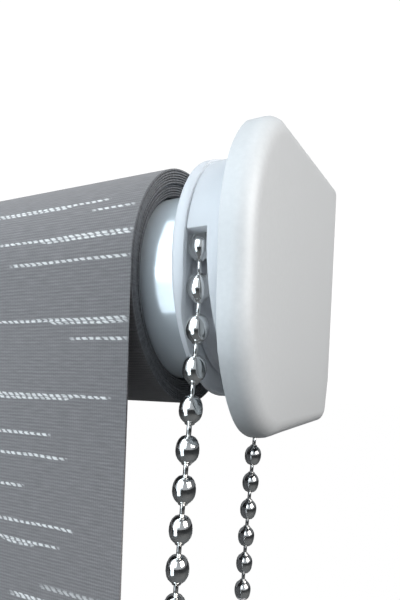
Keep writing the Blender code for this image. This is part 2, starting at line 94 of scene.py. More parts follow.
def sway(height):
    """The loop swings 3.3 mm towards the cloth between 14 mm and 100 mm below the axis."""
    return 3.3 * MM * math.sin(math.pi / 2 * min(1, max(0, (-height - 14) / 86)))


def srgb(code):
    """An sRGB hex colour as the linear RGBA that a shader takes."""
    parts = [int(code[i : i + 2], 16) / 255 for i in (1, 3, 5)]
    return (*(c / 12.92 if c <= 0.04045 else ((c + 0.055) / 1.055) ** 2.4 for c in parts), 1)


def node(material, kind, sockets, **settings):
    """Adds a shader node with its settings. sockets holds a value, a node or a socket for each input."""
    made = material.node_tree.nodes.new("ShaderNode" + kind)
    for key, value in settings.items():
        setattr(made, key, value)
    for key, value in sockets.items():
        if isinstance(value, bpy.types.Node):
            value = value.outputs[0]
        if isinstance(value, bpy.types.NodeSocket):
            material.node_tree.links.new(value, made.inputs[key])
        else:
            made.inputs[key].default_value = value
    return made


def new_material(name):
    made = bpy.data.materials.new(name)
    made.use_nodes = True
    made.node_tree.nodes.clear()
    return made


def finish_mesh(obj, name, material):
    """Names a shaped piece, puts its place into its mesh and gives it its material."""
    bpy.ops.object.select_all(action="DESELECT")
    obj.select_set(True)
    bpy.context.view_layer.objects.active = obj
    bpy.ops.object.transform_apply(location=True, rotation=True, scale=True)
    obj.name = obj.data.name = name
    obj.data.materials.clear()
    obj.data.materials.append(material)
    return obj


# Bright nickel over steel: mirror-like, with faint rolling marks round each bead.
nickel = new_material("nickel_plated_steel")
place = node(nickel, "TexCoord", {})
haze = node(nickel, "TexNoise", {"Vector": place.outputs["Object"], "Scale": 900, "Detail": 3})
rough = node(nickel, "MapRange", {"Value": haze, 1: 0.3, 2: 0.7, 3: 0.07, 4: 0.15})
marks = node(nickel, "Bump", {"Height": haze, "Strength": 0.04, "Distance": 0.0002})
tone = node(nickel, "Mix", {0: haze, 6: srgb("#d5d4d2"), 7: srgb("#efeeec")}, data_type="RGBA")
surface = node(
    nickel,
    "BsdfPrincipled",
    {"Base Color": tone.outputs[2], "Metallic": 1.0, "Roughness": rough, "Normal": marks},
)
node(nickel, "OutputMaterial", {"Surface": surface})



def smooth_through(knots, steps):
    """Points of a smooth curve that passes through the knots, with so many steps from each to the next."""
    ends = [2 * knots[0] - knots[1], *knots, 2 * knots[-1] - knots[-2]]
    points = []
    for a, b, c, d in zip(ends, ends[1:], ends[2:], ends[3:]):
        for step in range(steps):
            t = step / steps
            bend = (2 * a - 5 * b + 4 * c - d) * t * t + (3 * b - a - 3 * c + d) * t**3
            points.append(0.5 * (2 * b + (c - a) * t + bend))
    return [*points, knots[-1]]


knots = [
    Vector((CHAIN_X - sway(height), AXIS_Y + share * PITCH_RADIUS, height * MM))
    for share, height in CHAIN_ROUTE
]
strand = smooth_through(knots, 24)
along = [0.0]
for p, q in zip(strand, strand[1:]):
    along.append(along[-1] + (q - p).length)


def strand_at(distance):
    """The point of the hanging loop this far down it, and the way it runs there."""
    i = max(1, next((i for i, s in enumerate(along) if s >= distance), len(along) - 1))
    t = (distance - along[i - 1]) / (along[i] - along[i - 1])
    return strand[i - 1].lerp(strand[i], t), (strand[i] - strand[i - 1]).normalized()


# One bead, its collar towards -Z, and one link
BEAD_RINGS = (
    (0.75, 2.32), (1.2, 2.12), (1.62, 1.66), (1.92, 0.95), (2.04, 0.2), (2.04, -0.55), (1.9, -1.2),
    (1.6, -1.76), (1.2, -2.16), (0.9, -2.38), (0.82, -2.62), (0.6, -2.74),
)
bpy.ops.object.select_all(action="DESELECT")
bpy.ops.mesh.primitive_uv_sphere_add(segments=16, ring_count=13, radius=2 * MM)
bead = bpy.context.object
levels = sorted({round(v.co.z, 7) for v in bead.data.vertices}, reverse=True)
for v in bead.data.vertices:
    ring = levels.index(round(v.co.z, 7))
    if 0 < ring < 13:
        radius, height = BEAD_RINGS[ring - 1]
        flat = Vector((v.co.x, v.co.y)).normalized() * radius * MM
        v.co = (flat.x, flat.y, height * MM)
    else:
        v.co = (0, 0, BEAD_RINGS[0 if ring == 0 else -1][1] * MM)
bpy.ops.object.shade_smooth()
bpy.ops.mesh.primitive_cylinder_add(vertices=10, radius=0.46 * MM, depth=2.9 * MM, location=(0, 0, 3.42 * MM))
link = bpy.context.object
bpy.ops.object.mode_set(mode="EDIT")
bpy.ops.mesh.bevel(offset=0.12 * MM, segments=1)
bpy.ops.object.mode_set(mode="OBJECT")
bpy.ops.object.transform_apply(location=True)
bpy.ops.object.shade_smooth()


def thread_beads(name, places):
    """Copies the bead and the link to each (point, way down the chain) and joins the copies."""
    copies = []
    for point, way in places:
        turn = (-way).to_track_quat("Z", "Y").to_matrix().to_4x4()
        for pattern in (bead, link):
            copy = pattern.copy()
            copy.data = pattern.data.copy()
            copy.matrix_world = Matrix.Translation(point) @ turn
            bpy.context.scene.collection.objects.link(copy)
            copies.append(copy)
    bpy.ops.object.select_all(action="DESELECT")
    for copy in copies:
        copy.select_set(True)
    bpy.context.view_layer.objects.active = copies[0]
    bpy.ops.object.join()
    return finish_mesh(bpy.context.object, name, nickel)


step_angle = math.tau / POCKETS
lead = BEAD_PITCH - FIRST_BEAD  # arc from the front of the wheel up to the first bead on it
last_bead = along[-1] - lead
count = round((last_bead - FIRST_BEAD) / BEAD_PITCH)
hanging = [strand_at(FIRST_BEAD + (last_bead - FIRST_BEAD) * i / count) for i in range(count + 1)]
chain = thread_beads("bead_chain", hanging)
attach(chain, "brackets")
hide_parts("chain_loop")
ringed = []
for i in range(POCKETS // 2):
    angle = lead / PITCH_RADIUS + i * step_angle
    point = Vector((CHAIN_X, AXIS_Y - PITCH_RADIUS * math.cos(angle), PITCH_RADIUS * math.sin(angle)))
    ringed.append((point, Vector((0, -math.sin(angle), -math.cos(angle)))))
wheel_chain = thread_beads("bead_chain_on_wheel", ringed)
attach(wheel_chain, "brackets")
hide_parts("chain_on_wheel")
for pattern in (bead, link):
    bpy.data.objects.remove(pattern, do_unlink=True)

# White acetal clasp: two moulded halves snapped round the end beads, waisted in the middle.
white = new_material("moulded_acetal")
place = node(white, "TexCoord", {})
grain = node(white, "TexNoise", {"Vector": place.outputs["Object"], "Scale": 1400, "Detail": 4})
cloud = node(white, "TexNoise", {"Vector": place.outputs["Object"], "Scale": 60, "Detail": 2})
tone = node(white, "Mix", {0: cloud, 6: srgb("#dfe1e6"), 7: srgb("#e9eaee")}, data_type="RGBA")
rough = node(white, "MapRange", {"Value": grain, 1: 0.3, 2: 0.7, 3: 0.32, 4: 0.44})
marks = node(white, "Bump", {"Height": grain, "Strength": 0.06, "Distance": 0.0002})
surface = node(
    white,
    "BsdfPrincipled",
    {
        "Base Color": tone.outputs[2], "Roughness": rough, "Normal": marks, "IOR": 1.48,
        "Subsurface Weight": 0.5, "Subsurface Scale": 0.006, "Subsurface Radius": (1, 1, 1),
    },
)
node(white, "OutputMaterial", {"Surface": surface})

clasp_low, clasp_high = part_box("chain_connector")
clasp_middle = (Vector(clasp_low) + Vector(clasp_high)) / 2
bpy.ops.mesh.primitive_cylinder_add(vertices=32, radius=3.5 * MM, depth=13.6 * MM)
clasp = bpy.context.object
bpy.ops.object.mode_set(mode="EDIT")
bpy.ops.mesh.bevel(offset=1.5 * MM, segments=4)
for height in (0.9 * MM, -0.9 * MM, 0):
    bpy.ops.mesh.select_all(action="SELECT")
    bpy.ops.mesh.bisect(plane_co=(0, 0, height), plane_no=(0, 0, 1))
bpy.ops.mesh.select_all(action="DESELECT")
bpy.ops.object.mode_set(mode="OBJECT")
for v in clasp.data.vertices:
    if abs(v.co.z) < 0.1 * MM:
        v.co.x *= 0.84
        v.co.y *= 0.84
bpy.ops.object.shade_smooth_by_angle(angle=math.radians(35))
clasp.matrix_world = Matrix.Translation(clasp_middle)
finish_mesh(clasp, "chain_clasp", white)
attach(clasp, "connector")
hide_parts("chain_connector")

# ---- Chain wheel -----------------------------------------------------------------------------------------
# Moulded nylon: a grooved rim with a pocket for each bead and a hub that reaches into the tube.
# It turns on the fixed core. The nylon is a light grey with a low sheen and a fine eroded grain.
nylon = new_material("moulded_grey_nylon")
place = node(nylon, "TexCoord", {})
grain = node(nylon, "TexNoise", {"Vector": place.outputs["Object"], "Scale": 1500, "Detail": 4})
tone = node(nylon, "Mix", {0: grain, 6: srgb("#d6d7da"), 7: srgb("#e0e1e4")}, data_type="RGBA")
marks = node(nylon, "Bump", {"Height": grain, "Strength": 0.12, "Distance": 0.0002})
surface = node(
    nylon,
    "BsdfPrincipled",
    {"Base Color": tone.outputs[2], "Roughness": 0.5, "Normal": marks, "IOR": 1.53},
)
node(nylon, "OutputMaterial", {"Surface": surface})


def spun(name, profile, steps, material, centre=(0, AXIS_Y, 0)):
    """Spins an outline, given as (x, radius) points in millimetres, round the roller's axis."""
    bpy.ops.object.select_all(action="DESELECT")
    bpy.ops.mesh.primitive_circle_add(vertices=len(profile), radius=MM)
    ring = bpy.context.object
    for v, (x, radius) in zip(ring.data.vertices, profile, strict=True):
        v.co = (x * MM, centre[1] - radius * MM, centre[2])
    bpy.ops.object.mode_set(mode="EDIT")
    bpy.ops.mesh.select_all(action="SELECT")
    bpy.ops.mesh.spin(steps=steps, angle=math.tau, center=centre, axis=(1, 0, 0), use_auto_merge=True)
    bpy.ops.mesh.select_all(action="SELECT")
    bpy.ops.mesh.remove_doubles(threshold=1e-6)
    bpy.ops.mesh.normals_make_consistent(inside=False)
    bpy.ops.object.mode_set(mode="OBJECT")
    bpy.ops.object.shade_smooth_by_angle(angle=math.radians(32))
    return finish_mesh(ring, name, material)


wheel = spun(
    "pocket_wheel",
    [
        (5.9, 18.1), (5.3, 18.2), (4.7, 17.9), (4.0, 17.4), (3.2, 17.3), (2.45, 17.3), (1.7, 17.3),
        (0.9, 17.5), (0.6, 17.9), (0.5, 18.2), (0.45, 17.9), (0.45, 12.4), (-7.5, 12.4), (-7.5, 10.5),
        (0.45, 10.5), (0.45, 8.5), (5.9, 8.5),
    ],
    216,
    nylon,
)
# The groove's floor dips to a pocket at each bead
for v in wheel.data.vertices:
    radius = math.hypot(v.co.y - AXIS_Y, v.co.z)
    if radius > 17 * MM:
        angle = math.atan2(v.co.z, AXIS_Y - v.co.y) - lead / PITCH_RADIUS
        off = (angle / step_angle + 0.5) % 1 - 0.5
        ridge = 0.5 - 0.5 * math.cos(math.tau * off)
        depth = 0.4 * MM * (1 - ridge) if abs(v.co.x - CHAIN_X) < 1.8 * MM else 0
        scale = (radius - depth) / radius
        v.co.y = AXIS_Y + (v.co.y - AXIS_Y) * scale
        v.co.z *= scale
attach(wheel, "wheel")
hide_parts("chain_wheel")

# ---- Guard -----------------------------------------------------------------------------------------------
# White acetal disc beside the roll and a drum over the wheel. The drum is open at the front below a sloping
# lip, where the chain comes out, and its outer wall flares away from the chain lower down.
GUARD_Z = 1.1 * MM  # the guard's middle, above the axis
disc = spun(
    "guard_disc_turned",
    [(-0.95, 12.7), (-0.95, 23.1), (-0.87, 23.35), (-0.68, 23.53), (-0.4, 23.6), (0.3, 23.6), (1.1, 23.6),
     (1.26, 23.54), (1.3, 23.4), (1.3, 22.4), (1.2, 22.0), (0.9, 21.8), (0.5, 21.7), (0.25, 21.5),
     (0.15, 21.2), (0.15, 12.7)],
    192,
    white,
    centre=(0, AXIS_Y, GUARD_Z),
)
for v in disc.data.vertices:
    if math.hypot(v.co.y - AXIS_Y, v.co.z - GUARD_Z) < 13 * MM:
        v.co.z -= GUARD_Z
# The thick edge thins out below the axis, front and rear, where the chain leaves.
for v in disc.data.vertices:
    if v.co.x > 0.2 * MM:
        down = -v.co.z / MM
        thin = max(0, min(1, (down - 2) / 8.5)) * max(0, min(1, (22.6 - down) / 2.2))
        thin = thin * thin * (3 - 2 * thin)
        v.co.x = max(0.16 * MM, v.co.x - thin * 1.12 * MM)
bpy.ops.object.shade_smooth_by_angle(angle=math.radians(32))
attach(disc, "brackets")
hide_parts("guard_disc")

drum = spun(
    "guard_drum_moulded",
    [
        (1.42, 21.7), (1.42, 23.15), (1.5, 23.27), (1.65, 23.3), (4.0, 23.3), (6.2, 23.3), (7.3, 23.3),
        (7.7, 23.2), (7.85, 22.9), (7.85, 18.5), (7.85, 14.0), (11.6, 14.0), (11.6, 10.4), (6.25, 10.4),
        (6.25, 14.0), (6.25, 18.5), (6.25, 21.7),
    ],
    192,
    white,
    centre=(0, AXIS_Y, GUARD_Z),
)

# The slot is a box whose top slopes in through the wall, and whose outer side steps away from the chain as it
# goes down
SLOT_LOW, SLOT_HIGH = (-1, -69, -47), (5.1, -9, 4.4)
inner_wall = AXIS_Y - 21.3 * MM
bpy.ops.object.select_all(action="DESELECT")
bpy.ops.mesh.primitive_cube_add(size=1)
slot = bpy.context.object
for v in slot.data.vertices:
    v.co = [(b if c > 0 else a) * MM for a, b, c in zip(SLOT_LOW, SLOT_HIGH, v.co, strict=True)]
bpy.ops.object.mode_set(mode="EDIT")
bpy.ops.mesh.select_all(action="SELECT")
bpy.ops.mesh.bisect(plane_co=(0, inner_wall, 0), plane_no=(0, 1, 0))
bpy.ops.mesh.select_all(action="SELECT")
bpy.ops.mesh.bisect(plane_co=(0, 0, -14 * MM), plane_no=(0, 0, 1))
bpy.ops.object.mode_set(mode="OBJECT")
for v in slot.data.vertices:
    if v.co.z > 0:
        v.co.z += 0.3 * max(0, inner_wall - v.co.y)
    elif v.co.x > 0:
        v.co.x += 0.9 * MM
cutting = drum.modifiers.new("slot", "BOOLEAN")
cutting.object = slot
bpy.context.view_layer.objects.active = drum
bpy.ops.object.modifier_apply(modifier="slot")
bpy.data.objects.remove(slot, do_unlink=True)
drum.select_set(True)
bpy.ops.object.shade_smooth_by_angle(angle=math.radians(32))
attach(drum, "brackets")
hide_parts("guard_drum")

# ---- Roller tube -----------------------------------------------------------------------------------------
# Extruded aluminium with a 1.2 mm wall, carried by the drive crown at one end and the plug at the other. Its
# mill finish is a pale grey with fine die lines along its length, and a thin oxide dulls it.
mill = new_material("mill_aluminium")
place = node(mill, "TexCoord", {})
lines = node(mill, "Mapping", {"Vector": place.outputs["Object"], "Scale": (6, 1500, 1500)})
draw = node(mill, "TexNoise", {"Vector": lines, "Scale": 1, "Detail": 3})
tone = node(mill, "Mix", {0: draw, 6: srgb("#eaf1f6"), 7: srgb("#f0f6fa")}, data_type="RGBA")
rough = node(mill, "MapRange", {"Value": draw, 1: 0.3, 2: 0.7, 3: 0.13, 4: 0.2})
marks = node(mill, "Bump", {"Height": draw, "Strength": 0.06, "Distance": 0.0001})
surface = node(
    mill,
    "BsdfPrincipled",
    {"Base Color": tone.outputs[2], "Metallic": 0.35, "Roughness": rough, "Normal": marks},
)
node(mill, "OutputMaterial", {"Surface": surface})
tube = spun(
    "aluminium_tube",
    [(-414.1, 18.85), (-414.25, 18.7), (-414.25, 17.9), (-413.9, 17.8), (-2.2, 17.8), (-1.9, 17.9),
     (-1.85, 18.7), (-2.0, 18.95), (-2.2, 19.0), (-413.9, 19.0)],
    160,
    mill,
)
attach(tube, "roller")
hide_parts("roller_tube")

# ---- Wound cloth -----------------------------------------------------------------------------------------
# Woven polyester, about 1.6 m of it wound on the tube. Each turn's cut edge shows at the ends, the inner
# turns a little further in than the outer ones. The sizes are in millimetres.
ROLL_RADIUS = 24.4
CLOTH = 0.45
CLOTH_WIDTH = 400
WEFT_PITCH = 0.62

# Coarse plain weave in grey yarn, 0.62 mm between wefts, with pale slubs lying along them as rows of short
# slanting floats. The slubs catch the light; the ground stays matt.
cloth = new_material("slub_woven_polyester")
laid = node(cloth, "UVMap", {}, uv_map="cloth")
laid = node(cloth, "VectorMath", {0: laid, "Scale": 1000}, operation="SCALE")
axes = node(cloth, "SeparateXYZ", {"Vector": laid})
u, v = axes.outputs["X"], axes.outputs["Y"]
wander = node(cloth, "Mapping", {"Vector": laid, "Scale": (0.08, 0.3, 1)})
wander = node(cloth, "TexNoise", {"Vector": wander, "Scale": 1, "Detail": 2})
uneven = node(cloth, "MapRange", {"Value": wander, 3: -1.2, 4: 1.2})
weft = node(cloth, "Math", {0: v, 1: math.tau / WEFT_PITCH, 2: uneven}, operation="MULTIPLY_ADD")
warp = node(cloth, "Math", {0: u, 1: math.tau / 1.0}, operation="MULTIPLY")
warp = node(cloth, "Math", {0: warp}, operation="SINE")
weave = node(cloth, "Math", {0: warp, 1: 0.35, 2: weft}, operation="MULTIPLY_ADD")
weave = node(cloth, "Math", {0: weave}, operation="SINE")
ends = node(cloth, "Math", {0: u, 1: math.tau / 0.45}, operation="MULTIPLY")
ends = node(cloth, "Math", {0: ends}, operation="SINE")
ribs = node(cloth, "Math", {0: ends, 1: 0.5, 2: weave}, operation="MULTIPLY_ADD")
ribs = node(cloth, "MapRange", {"Value": ribs, 1: -1.5, 2: 1.5, 3: 0, 4: 1})
yarn = node(cloth, "Mapping", {"Vector": laid, "Scale": (0.35, 2.4, 1)})
yarn = node(cloth, "TexNoise", {"Vector": yarn, "Scale": 1, "Detail": 4})
ground = node(cloth, "Mix", {0: ribs, 6: srgb("#6e6b6c"), 7: srgb("#817e7f")}, data_type="RGBA")
mottle = node(cloth, "MapRange", {"Value": yarn, 1: 0.3, 2: 0.7, 3: 0.86, 4: 1.12})
ground = node(cloth, "VectorMath", {0: ground.outputs[2], "Scale": mottle}, operation="SCALE")

# Slubs near the control end, as (height, from, to, two rows from, two rows to) in millimetres, and beyond
# them rows 5 mm apart, each present over part of its length
SLUBS = (
    (13.6, -46, -15, -60, -24), (11.2, -19, -9, -9, -9), (5.8, -40, -8, -28, -6), (1.2, -36, -8, -8, -8),
    (-9.5, -41, -8, -25, -6), (-13.0, -21, -8, -8, -8), (-23.3, -42, -11, -50, -20),
    (-30.6, -39, -24, -24, -24), (-34.6, -41, -20, -20, -20), (-40.7, -40, -30, -30, -30),
    (-47.4, -41, -18, -18, -18), (-51.0, -42, -21, -35, -27),
)
warped = node(cloth, "MapRange", {"Value": wander, 3: -0.35, 4: 0.35})
warped = node(cloth, "Math", {0: v, 1: warped}, operation="ADD")
slub = 0
for level, start, end, wide_start, wide_end in SLUBS:
    off = node(cloth, "Math", {0: warped, 1: level}, operation="SUBTRACT")
    opening = node(cloth, "MapRange", {"Value": u, 1: wide_start - 1, 2: wide_start + 1, 3: 0.34, 4: 0.88})
    closing = node(cloth, "MapRange", {"Value": u, 1: wide_end + 1, 2: wide_end - 1, 3: 0.34, 4: 0.88})
    depth = node(cloth, "Math", {0: opening, 1: closing}, operation="MINIMUM")
    over = node(cloth, "MapRange", {"Value": off, 1: 0.36, 2: 0.22, 3: 0, 4: 1})
    under = node(cloth, "Math", {0: off, 1: depth}, operation="ADD")
    under = node(cloth, "MapRange", {"Value": under, 1: 0, 2: 0.16, 3: 0, 4: 1})
    parting = node(cloth, "Math", {0: off, 1: 0.31}, operation="ADD")
    parting = node(cloth, "Math", {0: parting}, operation="ABSOLUTE")
    parting = node(cloth, "MapRange", {"Value": parting, 1: 0.02, 2: 0.1, 3: 0.15, 4: 1})
    band = node(cloth, "Math", {0: over, 1: under}, operation="MULTIPLY")
    band = node(cloth, "Math", {0: band, 1: parting}, operation="MULTIPLY")
    ease_in = node(cloth, "MapRange", {"Value": u, 1: start, 2: start + 2, 3: 0, 4: 1})
    ease_out = node(cloth, "MapRange", {"Value": u, 1: end, 2: end - 1.2, 3: 0, 4: 1})
    band = node(cloth, "Math", {0: band, 1: ease_in}, operation="MULTIPLY")
    slub = node(cloth, "Math", {0: band, 1: ease_out, 2: slub}, operation="MULTIPLY_ADD")
scaled = node(cloth, "Math", {0: v, 1: 0.2}, operation="MULTIPLY")
row = node(cloth, "Math", {0: scaled}, operation="FLOOR")
chance = node(cloth, "TexWhiteNoise", {"W": row}, noise_dimensions="1D")
shift = node(cloth, "Math", {0: chance.outputs["Value"], 1: 0.6, 2: 0.2}, operation="MULTIPLY_ADD")
off = node(cloth, "Math", {0: scaled}, operation="FRACT")
off = node(cloth, "Math", {0: off, 1: shift}, operation="SUBTRACT")
off = node(cloth, "Math", {0: off}, operation="ABSOLUTE")
band = node(cloth, "MapRange", {"Value": off, 1: 0.1, 2: 0.07, 3: 0, 4: 1})
drawn_out = node(cloth, "Math", {0: u, 1: 0.03}, operation="MULTIPLY")
apart = node(cloth, "Math", {0: row, 1: 7.3}, operation="MULTIPLY")
spread = node(cloth, "CombineXYZ", {"X": drawn_out, "Y": apart})
spread = node(cloth, "TexNoise", {"Vector": spread, "Scale": 1, "Detail": 0})
present = node(cloth, "MapRange", {"Value": spread, 1: 0.54, 2: 0.58, 3: 0, 4: 1})
aside = node(cloth, "MapRange", {"Value": u, 1: -43, 2: -47, 3: 0, 4: 1})
lower = node(cloth, "MapRange", {"Value": v, 1: -57, 2: -60, 3: 0, 4: 1})
higher = node(cloth, "MapRange", {"Value": v, 1: 40, 2: 43, 3: 0, 4: 1})
beyond = node(cloth, "Math", {0: aside, 1: lower}, operation="MAXIMUM")
beyond = node(cloth, "Math", {0: beyond, 1: higher}, operation="MAXIMUM")
others = node(cloth, "Math", {0: band, 1: present}, operation="MULTIPLY")
slub = node(cloth, "Math", {0: others, 1: beyond, 2: slub}, operation="MULTIPLY_ADD", use_clamp=True)

# Each slub is a row of short floats that lean one way, 1.45 mm apart, and some are thinner than others
jitter = node(cloth, "MapRange", {"Value": yarn, 3: -0.7, 4: 0.7})
slant = node(cloth, "Math", {0: u, 1: v}, operation="ADD")
slant = node(cloth, "Math", {0: slant, 1: jitter}, operation="ADD")
slant = node(cloth, "Math", {0: slant, 1: math.tau / 1.45}, operation="MULTIPLY")
slant = node(cloth, "Math", {0: slant}, operation="SINE")
floats = node(cloth, "MapRange", {"Value": slant, 1: -0.75, 2: 0.1, 3: 0.08, 4: 1})
patchy = node(cloth, "MapRange", {"Value": yarn, 1: 0.32, 2: 0.55, 3: 0.5, 4: 1})
floats = node(cloth, "Math", {0: floats, 1: patchy}, operation="MULTIPLY")
slub = node(cloth, "Math", {0: slub, 1: floats}, operation="MULTIPLY")
tone = node(cloth, "Mix", {0: slub, 6: ground, 7: srgb("#e2e1e0")}, data_type="RGBA")
height = node(cloth, "Math", {0: slub, 1: 0.8, 2: ribs}, operation="MULTIPLY_ADD")
marks = node(cloth, "Bump", {"Height": height, "Strength": 0.18, "Distance": 0.0001})
surface = node(
    cloth,
    "BsdfPrincipled",
    {"Base Color": tone.outputs[2], "Roughness": 0.85, "Normal": marks, "Sheen Weight": 0.15},
)
node(cloth, "OutputMaterial", {"Surface": surface})

# The cut edges of the turns: the same yarn seen end on, fuzzy and quite matt
cut_edge = new_material("cut_cloth_edge")
laid = node(cut_edge, "UVMap", {}, uv_map="cloth")
fuzz = node(cut_edge, "TexNoise", {"Vector": laid, "Scale": 2400, "Detail": 4})
tone = node(cut_edge, "Mix", {0: fuzz, 6: srgb("#4c4c4e"), 7: srgb("#858587")}, data_type="RGBA")
marks = node(cut_edge, "Bump", {"Height": fuzz, "Strength": 0.5, "Distance": 0.0003})
surface = node(
    cut_edge,
    "BsdfPrincipled",
    {"Base Color": tone.outputs[2], "Roughness": 0.95, "Normal": marks},
)
node(cut_edge, "OutputMaterial", {"Surface": surface})

turn_edges = []
turns = 11
for i in range(turns):
    outer = ROLL_RADIUS - i * CLOTH
    end = -8.0 - 1.5 * i / turns
    turn_edges += [(end, outer - 0.08), (end, outer - 0.34), (end - 0.45, outer - CLOTH)]
profile = [(-8.1, ROLL_RADIUS), *turn_edges, (-9.6, 19.3)]
mirrored = [(2 * -8 - CLOTH_WIDTH - x, radius) for x, radius in reversed(profile)]
roll = spun("wound_cloth", profile + mirrored, 160, cloth)
roll.data.materials.append(cut_edge)
# No turn lies quite level with the next, and each wanders a little on its way round
chance = random.Random(5)
wobble = [chance.uniform(-0.3, 0.3) for _ in range(turns)]
sheet_map = roll.data.uv_layers.new(name="cloth")
for v in roll.data.vertices:
    radius = math.hypot(v.co.y - AXIS_Y, v.co.z) / MM
    angle = math.atan2(v.co.z, AXIS_Y - v.co.y)
    turn = min(turns - 1, int((ROLL_RADIUS - radius) / CLOTH))
    if turn > 0:
        side = 1 if v.co.x > -0.2 else -1
        v.co.x += side * wobble[turn] * (0.6 + 0.4 * math.sin(angle * 2 + turn)) * MM
for face in roll.data.polygons:
    middle = face.center
    base = math.atan2(middle.z, AXIS_Y - middle.y)
    inside = math.hypot(middle.y - AXIS_Y, middle.z) < (ROLL_RADIUS - 0.2) * MM
    face.material_index = 1 if inside or abs(face.normal.x) > 0.3 else 0
    for loop in face.loop_indices:
        co = roll.data.vertices[roll.data.loops[loop].vertex_index].co
        angle = math.atan2(co.z, AXIS_Y - co.y)
        angle = base + (angle - base + math.pi) % math.tau - math.pi
        # The slubs listed above belong to the upper half, so the lower half takes its pattern from elsewhere
        sheet_map.data[loop].uv = (co.x + (0.1 if base < 0 else 0), angle * ROLL_RADIUS * MM)
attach(roll, "roller")
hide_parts("wound_fabric")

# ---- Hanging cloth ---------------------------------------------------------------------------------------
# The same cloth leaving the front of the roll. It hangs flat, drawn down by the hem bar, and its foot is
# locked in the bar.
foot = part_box("fabric_panel")[0][2]
bpy.ops.object.select_all(action="DESELECT")
bpy.ops.mesh.primitive_cube_add(size=1)
panel = bpy.context.object
bpy.ops.object.mode_set(mode="EDIT")
for level in range(1, 70):
    bpy.ops.mesh.select_all(action="SELECT")
    bpy.ops.mesh.bisect(plane_co=(0, 0, 0.5 - level / 70), plane_no=(0, 0, 1))
for level in range(1, 50):
    bpy.ops.mesh.select_all(action="SELECT")
    bpy.ops.mesh.bisect(plane_co=(0.5 - level / 50, 0, 0), plane_no=(1, 0, 0))
bpy.ops.object.mode_set(mode="OBJECT")
front_y = AXIS_Y - ROLL_RADIUS * MM - 0.02 * MM
for v in panel.data.vertices:
    share = 0.5 - v.co.z
    z = foot * (share**1.5)
    x = ROLL_END_X + (v.co.x - 0.5) * CLOTH_WIDTH * MM
    # It waves a little between 30 mm below the axis and the hem, and it tapers where it leaves the roll
    free = min(1, max(0, (-z - 0.03) / 0.06)) * min(1, max(0, (z - foot) / 0.03))
    wave = 0.22 * MM * free * math.sin(x * 31 + 1.3) * math.sin(z * 23 + x * 9)
    wound = min(ROLL_RADIUS * MM, -z * 0.2)
    gap = ROLL_RADIUS * MM - math.sqrt((ROLL_RADIUS * MM) ** 2 - wound**2)
    thick = min(CLOTH * MM, 0.01 * MM + gap)
    v.co = (x, front_y + wave + (thick if v.co.y > 0 else 0), z)
panel_map = panel.data.uv_layers.new(name="cloth")
for loop in panel.data.loops:
    co = panel.data.vertices[loop.vertex_index].co
    panel_map.data[loop.index].uv = (co.x, co.z)
panel.data.uv_layers.active = panel_map
bpy.ops.object.shade_smooth_by_angle(angle=math.radians(32))
finish_mesh(panel, "hanging_cloth", cloth)
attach(panel, "brackets")
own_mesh(panel)
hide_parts("fabric_panel")

# ---- Covers ----------------------------------------------------------------------------------------------
# Moulded ABS shells that snap over the side plates. The outer face leans a little, and its edge is well
# rounded. The side at the wall is open. The ABS is an even pale grey with a soft sheen.
abs_shell = new_material("moulded_abs")
place = node(abs_shell, "TexCoord", {})
grain = node(abs_shell, "TexNoise", {"Vector": place.outputs["Object"], "Scale": 1300, "Detail": 4})
tone = node(abs_shell, "Mix", {0: grain, 6: srgb("#c9cacb"), 7: srgb("#d6d7d8")}, data_type="RGBA")
rough = node(abs_shell, "MapRange", {"Value": grain, 1: 0.3, 2: 0.7, 3: 0.36, 4: 0.46})
marks = node(abs_shell, "Bump", {"Height": grain, "Strength": 0.05, "Distance": 0.0002})
surface = node(
    abs_shell,
    "BsdfPrincipled",
    {"Base Color": tone.outputs[2], "Roughness": rough, "Normal": marks, "IOR": 1.54},
)
node(abs_shell, "OutputMaterial", {"Surface": surface})
SHELL_DEPTH = 4.7 * MM
SHELL_EDGE = 3 * MM
SHELL_WALL = 1.4 * MM
LEAN = 0.01  # of the outer face, for each metre up
TOP_SLOPE = 0.24


def cover_outline():
    """A cover's side view, from its rear foot round the front to its rear top, as (y, z) from the axis."""
    points = [(38.1, -24.8), (36.9, -27.6), (34.1, -28.8)]
    points += [(34.1 - i * 47.6 / 10, -28.8 - 0.01 * i) for i in range(1, 10)]
    front = [(-13.5, -28.95), (-17.0, -28.85), (-20.4, -28.1), (-23.6, -26.9), (-26.6, -24.9), (-29.5, -21.8),
             (-32.0, -17.8), (-33.2, -14.6), (-33.8, -11.0), (-34.0, -5.5), (-34.15, 0.0), (-33.8, 3.6),
             (-32.9, 7.2), (-30.9, 11.8), (-28.0, 15.8), (-24.8, 19.0), (-22.6, 20.5)]
    points += [(point.x, point.y) for point in smooth_through([Vector(corner) for corner in front], 4)]
    points += [(-21.2, 21.45), (-19.6, 22.18)]
    points += [(-19.6 + i * 57.7 / 12, 22.18 + i * 57.7 / 12 * TOP_SLOPE) for i in range(1, 13)]
    return points


def pick(obj, kind, test):
    """Enters edit mode with only the faces or edges that pass the test selected."""
    bpy.context.tool_settings.mesh_select_mode = (False, kind == "EDGE", kind == "FACE")
    data = obj.data
    found = [x.index for x in (data.polygons if kind == "FACE" else data.edges) if test(x)]
    for group in (data.vertices, data.edges, data.polygons):
        for x in group:
            x.select = False
    for i in found:
        (data.polygons if kind == "FACE" else data.edges)[i].select = True
    bpy.ops.object.mode_set(mode="EDIT")


